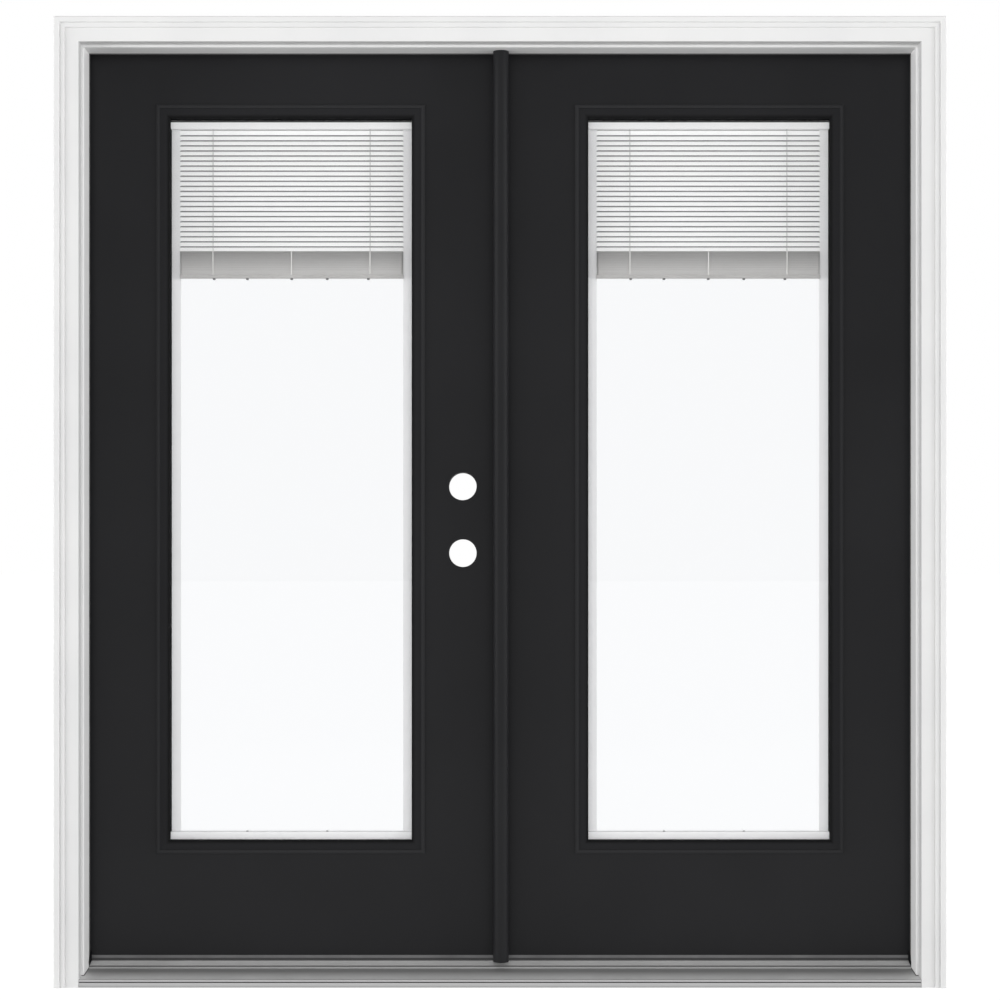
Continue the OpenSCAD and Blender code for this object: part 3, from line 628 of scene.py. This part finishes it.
# Painted highlight and painted shade: the outer bead is painted a lighter tone and the lip by the glass a darker one;
# the lip is also rougher.
bead_inside, bead_crown = -0.0088, -0.0072
lip_starts, lip_dark = -0.0205, -0.0265
bead_highlight_tone = (0.0265, 0.0267, 0.0282)
lip_shade_tone = (0.009, 0.009, 0.0095)
lip_matt = 0.4
plastic_tree = frame_plastic.node_tree
plastic_shader = plastic_tree.nodes["Principled BSDF"]
plastic_place = plastic_tree.nodes.new("ShaderNodeSeparateXYZ")
join(plastic_tree, plastic_tree.nodes.new("ShaderNodeTexCoord").outputs["Object"], plastic_place.inputs[0])
across = maths(plastic_tree, "ABSOLUTE", plastic_place.outputs["X"], 0)
across = maths(plastic_tree, "SUBTRACT", across, light_middle_x)
across = maths(plastic_tree, "SUBTRACT", maths(plastic_tree, "ABSOLUTE", across, 0), light_half_width)
along = maths(plastic_tree, "SUBTRACT", plastic_place.outputs["Z"], light_middle_z)
along = maths(plastic_tree, "SUBTRACT", maths(plastic_tree, "ABSOLUTE", along, 0), light_half_height)
from_edge = maths(plastic_tree, "MAXIMUM", across, along)
bead = spread(plastic_tree, from_edge, bead_inside, bead_crown, 0.0, 1.0)
lip_shade_and_matt = spread(plastic_tree, from_edge, lip_starts, lip_dark, 0.0, 1.0)
plastic_with_highlight = tinted(plastic_tree, bead, plastic_shader.inputs["Base Color"].links[0].from_socket, bead_highlight_tone)
join(plastic_tree, tinted(plastic_tree, lip_shade_and_matt, plastic_with_highlight, lip_shade_tone), plastic_shader.inputs["Base Color"])
plastic_rough = plastic_shader.inputs["Roughness"].links[0].from_socket
plastic_rough = maths(plastic_tree, "ADD", maths(plastic_tree, "MULTIPLY", lip_shade_and_matt, lip_matt), plastic_rough)
join(plastic_tree, plastic_rough, plastic_shader.inputs["Roughness"])
dress(frame_plastic, *(f"{d}_{s}_lite_frame" for d in ("active", "passive") for s in ("exterior", "interior")))


def turned(shape, centre, axis, profile, turns=24):
    """A turned form: profile is (radius, height) pairs from the rim to the crown."""
    axis = Vector(axis).normalized()
    side = axis.orthogonal().normalized()
    other = axis.cross(side)
    rings = []
    for r, h in profile:
        ring = [shape.verts.new(Vector(centre) + axis * h + (side * math.cos(a) + other * math.sin(a)) * r)
                for a in (2 * math.pi * t / turns for t in range(turns))]
        rings.append(ring)
    for a, b in zip(rings, rings[1:]):
        for t in range(turns):
            n = (t + 1) % turns
            shape.faces.new((a[t], a[n], b[n], b[t]))
    shape.faces.new(rings[-1])
    shape.faces.new(list(reversed(rings[0])))


plug_profile = [(0.0048, -0.0012), (0.0048, 0.0002), (0.0044, 0.0005), (0.0030, 0.0006)]
plug_inset = 0.0158
plug_first, plug_pitch = 0.10, 0.471


def light_frame_plugs(node):
    """Ten plugs around an inner light frame, each set on its face."""
    low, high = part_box(node)
    face = nodes[node].data
    skin = BVHTree.FromPolygons([v.co for v in face.vertices], [p.vertices[:] for p in face.polygons])
    rows = [low.z + plug_first + k * plug_pitch for k in range(4)]
    spots = [(x, z) for x in (low.x + plug_inset, high.x - plug_inset) for z in rows]
    spots += [((low.x + high.x) / 2, z) for z in (low.z + plug_inset, high.z - plug_inset)]

    def press(shape):
        for x, z in spots:
            hit = skin.ray_cast(Vector((x, high.y + 0.05, z)), Vector((0, -1, 0)))[0]
            if hit:
                turned(shape, hit, (0, 1, 0), plug_profile)
    return press


for door in ("active", "passive"):
    plugs = light_frame_plugs(f"{door}_interior_lite_frame")
    piece(f"{door}_light_frame_plugs", plugs, frame_plastic, f"{door}_door")


# The sealed unit: two clear panes held apart by a dark foam spacer around their edge.
# Light passes straight through the thin panes, so that the blind between them is lit.
clear_glass = bpy.data.materials.new("clear_glass")
clear_glass.use_nodes = True
glass_tree = clear_glass.node_tree
glass_shader = glass_tree.nodes["Principled BSDF"]
glass_shader.inputs["Base Color"].default_value = (0.984, 0.988, 0.994, 1)
glass_shader.inputs["Transmission Weight"].default_value = 1.0
glass_shader.inputs["IOR"].default_value = 1.5
glass_shader.inputs["Specular IOR Level"].default_value = 0.12
glass_place = glass_tree.nodes.new("ShaderNodeTexCoord").outputs["Object"]
glass_film = spread(glass_tree, noise(glass_tree, glass_place, 14.0, 4.0), 0.5, 0.8, 0.0, 0.02)
join(glass_tree, glass_film, glass_shader.inputs["Roughness"])
glass_ray = glass_tree.nodes.new("ShaderNodeLightPath").outputs
glass_open = glass_tree.nodes.new("ShaderNodeBsdfTransparent")
glass_open.inputs["Color"].default_value = (1, 1, 1, 1)
glass_mix = glass_tree.nodes.new("ShaderNodeMixShader")
glass_lets_light = maths(glass_tree, "MAXIMUM", glass_ray["Is Shadow Ray"], glass_ray["Is Diffuse Ray"])
join(glass_tree, glass_lets_light, glass_mix.inputs[0])
join(glass_tree, glass_shader.outputs[0], glass_mix.inputs[1])
join(glass_tree, glass_open.outputs[0], glass_mix.inputs[2])
join(glass_tree, glass_mix.outputs[0], glass_tree.nodes["Material Output"].inputs["Surface"])
for door in ("active", "passive"):
    dress(clear_glass, f"{door}_exterior_pane", f"{door}_interior_pane")
    dress(dark_foam, f"{door}_spacer")


# The blinds: thin crowned aluminium slats, enamelled white, on two string ladders and three lift
# cords, hung in a white moulded frame between the panes. The lower slats lie on the bottom rail.
slat_enamel = coated("slat_enamel", (0.945, 0.945, 0.94), (0.965, 0.965, 0.96), rough=0.35, cloud=12.0, grain=1500.0,
                     bump=0.05, specular=0.4, dust=0.0)
rail_enamel = coated("rail_enamel", (0.40, 0.39, 0.38), (0.46, 0.45, 0.44), rough=0.4, cloud=12.0, grain=1500.0,
                     bump=0.05, specular=0.4, dust=0.0)
stack_enamel = coated("stack_enamel", (0.90, 0.885, 0.865), (0.94, 0.925, 0.905), rough=0.4, cloud=3.0, grain=900.0,
                      bump=0.05, specular=0.3, dust=0.0)
cord_thread = coated("cord_thread", (0.74, 0.73, 0.71), (0.84, 0.83, 0.81), rough=0.8, cloud=300.0, grain=4000.0,
                     bump=0.6, specular=0.2, dust=0.0)
ladder_thread = coated("ladder_thread", grey(0.36), grey(0.44), rough=0.8, cloud=300.0, grain=4000.0, bump=0.6,
                       specular=0.2, dust=0.0)
cap_plastic = coated("cap_plastic", grey(0.10), grey(0.14), rough=0.5, cloud=200.0, grain=3000.0, bump=0.3,
                     specular=0.3, dust=0.0)
blind_frame_white = coated("blind_frame_white", (0.94, 0.94, 0.945), (0.965, 0.965, 0.97), rough=0.5, cloud=25.0,
                           grain=900.0, bump=0.2, specular=0.3, dust=0.0)
# Painted shade: the headrail, above its foot, is a darker grey than the rest of the frame.
headrail_foot, headrail_shade_tone = 1.8334, grey(0.83)
toned(blind_frame_white, "Z", headrail_foot, headrail_foot + 0.0010, headrail_shade_tone)
dress(blind_frame_white, "active_blind_frame", "passive_blind_frame")
dress(rail_enamel, "active_blind_bottom_rail", "passive_blind_bottom_rail")


def toned_by(material, attribute, low, high, tone):
    """Changes a finish with a value that the mesh carries: not at low, wholly at high."""
    tree = material.node_tree
    shader = tree.nodes["Principled BSDF"]
    value = tree.nodes.new("ShaderNodeAttribute")
    value.attribute_name = attribute
    mask = spread(tree, value.outputs["Fac"], low, high, 0.0, 1.0)
    plain = shader.inputs["Base Color"].links[0].from_socket
    join(tree, tinted(tree, mask, plain, tone), shader.inputs["Base Color"])


# Painted shade: each hanging slat turns dark grey towards its inner edge, under the slat above.
toned_by(slat_enamel, "tuck_shade", 0.60, 0.76, grey(0.17))
# Painted shade: the gathered slats darken up the stack and on their undersides, with random streaks.
toned_by(stack_enamel, "rise", 0.0, 1.0, (0.36, 0.356, 0.352))
slat_width = 0.0127
slat_crown = 0.0009
slat_pitch = 0.01094
slat_tilt = math.radians(68)
slat_sway = math.radians(0.5)
slat_thick = 0.0003
slat_corner = 0.003
hanging_count = 24
first_drop = 0.0065
first_slat_shade = 0.79
ladder_reach = 0.170
ladder_half_depth = 0.0036
rung_half_depth, rung_drop, rung_rise = 0.003, 0.0058, 0.0056
gathered_count = 104
gathered_thick, gathered_crown = 0.00028, 0.0005
gathered_width = slat_width - 0.0012
gathered_shorter = 0.0015
# Painted shade between the tops and the undersides of the gathered slats.
underside_shade = 0.45
cord_front = -0.0062
ladder_radius, rung_radius, cord_radius = 0.0007, 0.0003, 0.0010
cap_places = (-0.168, -0.096, 0.0, 0.077, 0.166)
cap_profile = [(0.0030, -0.0004), (0.0032, 0.0010), (0.0027, 0.0030), (0.0012, 0.0036)]
stud_places = (-0.096, 0.077)
stud_profile = [(0.0026, -0.0004), (0.0026, 0.0008), (0.0020, 0.0014), (0.0008, 0.0016)]
foot_height = 0.016
cap_forward = 0.001


def slat(shape, middle, length, thick, tilt, crown=slat_crown, width=slat_width, across=8, tucked=1.0):
    """One crowned slat with rounded ends, about middle, its outer edge lowered by tilt.

    The value of the painted shade grows to tucked at the inner edge, which lies under the slat above.
    """
    tuck_shade = shape.verts.layers.float.get("tuck_shade") or shape.verts.layers.float.new("tuck_shade")
    bend = (width ** 2 / 4 + crown ** 2) / (2 * crown)
    faces = []
    for lift in (thick / 2, -thick / 2):
        rows = []
        for k in range(across + 1):
            u = -width / 2 + width * k / across
            v = crown / 2 - bend + math.sqrt(bend ** 2 - u ** 2) + lift
            past = max(0.0, abs(u) - (width / 2 - slat_corner))
            reach = length / 2 - slat_corner + math.sqrt(max(slat_corner ** 2 - past ** 2, 0))
            y = u * math.cos(tilt) - v * math.sin(tilt)
            z = u * math.sin(tilt) + v * math.cos(tilt)
            row = [shape.verts.new((middle[0] + s * reach, middle[1] + y, middle[2] + z)) for s in (-1, 0, 1)]
            for point in row:
                point[tuck_shade] = tucked * k / across
            rows.append(row)
        faces.append(rows)
    top, under = faces
    for k in range(across):
        for j in range(2):
            shape.faces.new((top[k][j], top[k][j + 1], top[k + 1][j + 1], top[k + 1][j]))
            shape.faces.new((under[k][j], under[k + 1][j], under[k + 1][j + 1], under[k][j + 1]))
    for k in (0, across):
        for j in range(2):
            shape.faces.new((top[k][j], under[k][j], under[k][j + 1], top[k][j + 1]))
    for j in (0, 2):
        for k in range(across):
            shape.faces.new((top[k][j], top[k + 1][j], under[k + 1][j], under[k][j]))


def thread(shape, start, end, radius, turns=8):
    """A straight run of cord."""
    way = Vector(end) - Vector(start)
    turned(shape, start, way, [(radius, 0.0), (radius, way.length)], turns)


for door in ("active", "passive"):
    low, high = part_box(f"{door}_hanging_slats")
    stack_low, stack_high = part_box(f"{door}_slat_stack")
    middle_x = (low.x + high.x) / 2
    blind_y = (low.y + high.y) / 2
    length = high.x - low.x
    rail_top = high.z
    first = rail_top - first_drop

    def hang(shape):
        for i in range(hanging_count):
            tilt = slat_tilt + slat_sway * math.sin(2.7 * i)
            # The first slat, under the headrail, takes less of the painted shade.
            tucked = 1.0 if i else first_slat_shade
            slat(shape, (middle_x, blind_y, first - i * slat_pitch), length, slat_thick, tilt, tucked=tucked)

    def ladders(shape):
        for x in (middle_x - ladder_reach, middle_x + ladder_reach):
            for y in (blind_y - ladder_half_depth, blind_y + ladder_half_depth):
                thread(shape, (x, y, rail_top), (x, y, low.z), ladder_radius)
            for i in range(hanging_count):
                z = first - i * slat_pitch
                front = (x, blind_y - rung_half_depth, z - rung_drop)
                thread(shape, front, (x, blind_y + rung_half_depth, z + rung_rise), rung_radius, turns=6)

    slats = piece(f"{door}_slats", hang, slat_enamel, f"{door}_door")
    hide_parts(f"{door}_hanging_slats")
    ladder = piece(f"{door}_ladders", ladders, ladder_thread, f"{door}_door")
    for made in (slats, ladder):
        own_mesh(made)

    def gather(shape):
        gathered_length = length - gathered_shorter
        step = (stack_high.z - stack_low.z) / gathered_count
        rise = shape.verts.layers.float.new("rise")
        for i in range(gathered_count):
            shift = 0.00035 * math.sin(12.9898 * i) + 0.0002 * math.sin(4.1 * i + 1)
            slip = 0.0007 * math.sin(7.31 * i)
            before = len(shape.verts)
            middle = (middle_x + slip, blind_y + shift, stack_low.z + (i + 0.5) * step)
            slat(shape, middle, gathered_length, gathered_thick, 0.0, gathered_crown, gathered_width, across=4)
            shape.verts.ensure_lookup_table()
            points = shape.verts[before:]
            streak = 0.07 * math.sin(0.62 * i) + 0.06 * math.sin(1.37 * i + 2)
            for k, point in enumerate(points):
                # The rise value carries the painted shade: higher up the stack and on the underside, plus a random
                # streak.
                point[rise] = i / gathered_count + streak + (-underside_shade if k < len(points) / 2 else underside_shade)

    stack = piece(f"{door}_stack", gather, stack_enamel)
    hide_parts(f"{door}_slat_stack")
    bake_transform(stack)

    def stack_cords(shape):
        y = blind_y + cord_front
        for x in (middle_x - ladder_reach, middle_x + ladder_reach, middle_x):
            thread(shape, (x, y, stack_high.z), (x, y, stack_low.z), cord_radius)

    cords = piece(f"{door}_stack_cords", stack_cords, cord_thread)
    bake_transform(cords)

    def cord_caps(shape):
        rail_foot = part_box(f"{door}_blind_bottom_rail")[0].z
        for x in cap_places:
            turned(shape, (middle_x + x, blind_y - cap_forward, rail_foot), (0, 0, -1), cap_profile)

    def rest_studs(shape):
        foot_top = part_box(f"{door}_blind_frame")[0].z + foot_height
        for x in stud_places:
            turned(shape, (middle_x + x, blind_y - cap_forward, foot_top), (0, 0, 1), stud_profile)

    piece(f"{door}_cord_caps", cord_caps, cap_plastic, f"{door}_blind_rail")
    piece(f"{door}_rest_studs", rest_studs, cap_plastic, f"{door}_door")


# The slider: a moulded block that runs on a rib of the inner light frame and drags the bottom
# rail through the glass with magnets.
dress(charcoal, "active_blind_slider", "passive_blind_slider")


# The sweeps: vinyl fins in a carrier that is pressed into a groove under each leaf, and they
# brush the threshold cap.
sweep_vinyl = coated("sweep_vinyl", (0.13, 0.13, 0.132), (0.17, 0.17, 0.172), rough=0.55, cloud=18.0, grain=900.0,
                     bump=0.3, specular=0.3, dust=0.1)
# Painted shade: the fins below the carrier are a darker grey.
fin_top, fin_foot = 0.0434, 0.0428
toned(sweep_vinyl, "Z", fin_top, fin_foot, (0.055, 0.055, 0.056))
dress(sweep_vinyl, "active_sweep", "passive_sweep")


# The astragal: an extruded post with a round nose, screwed to the passive leaf's edge, painted
# with the leaves. A pile seal runs down it, and a flush bolt slides in each end.
dress(charcoal, "astragal")
dress(dark_foam, "astragal_seal")
dress(satin_steel, "head_bolt", "foot_bolt")
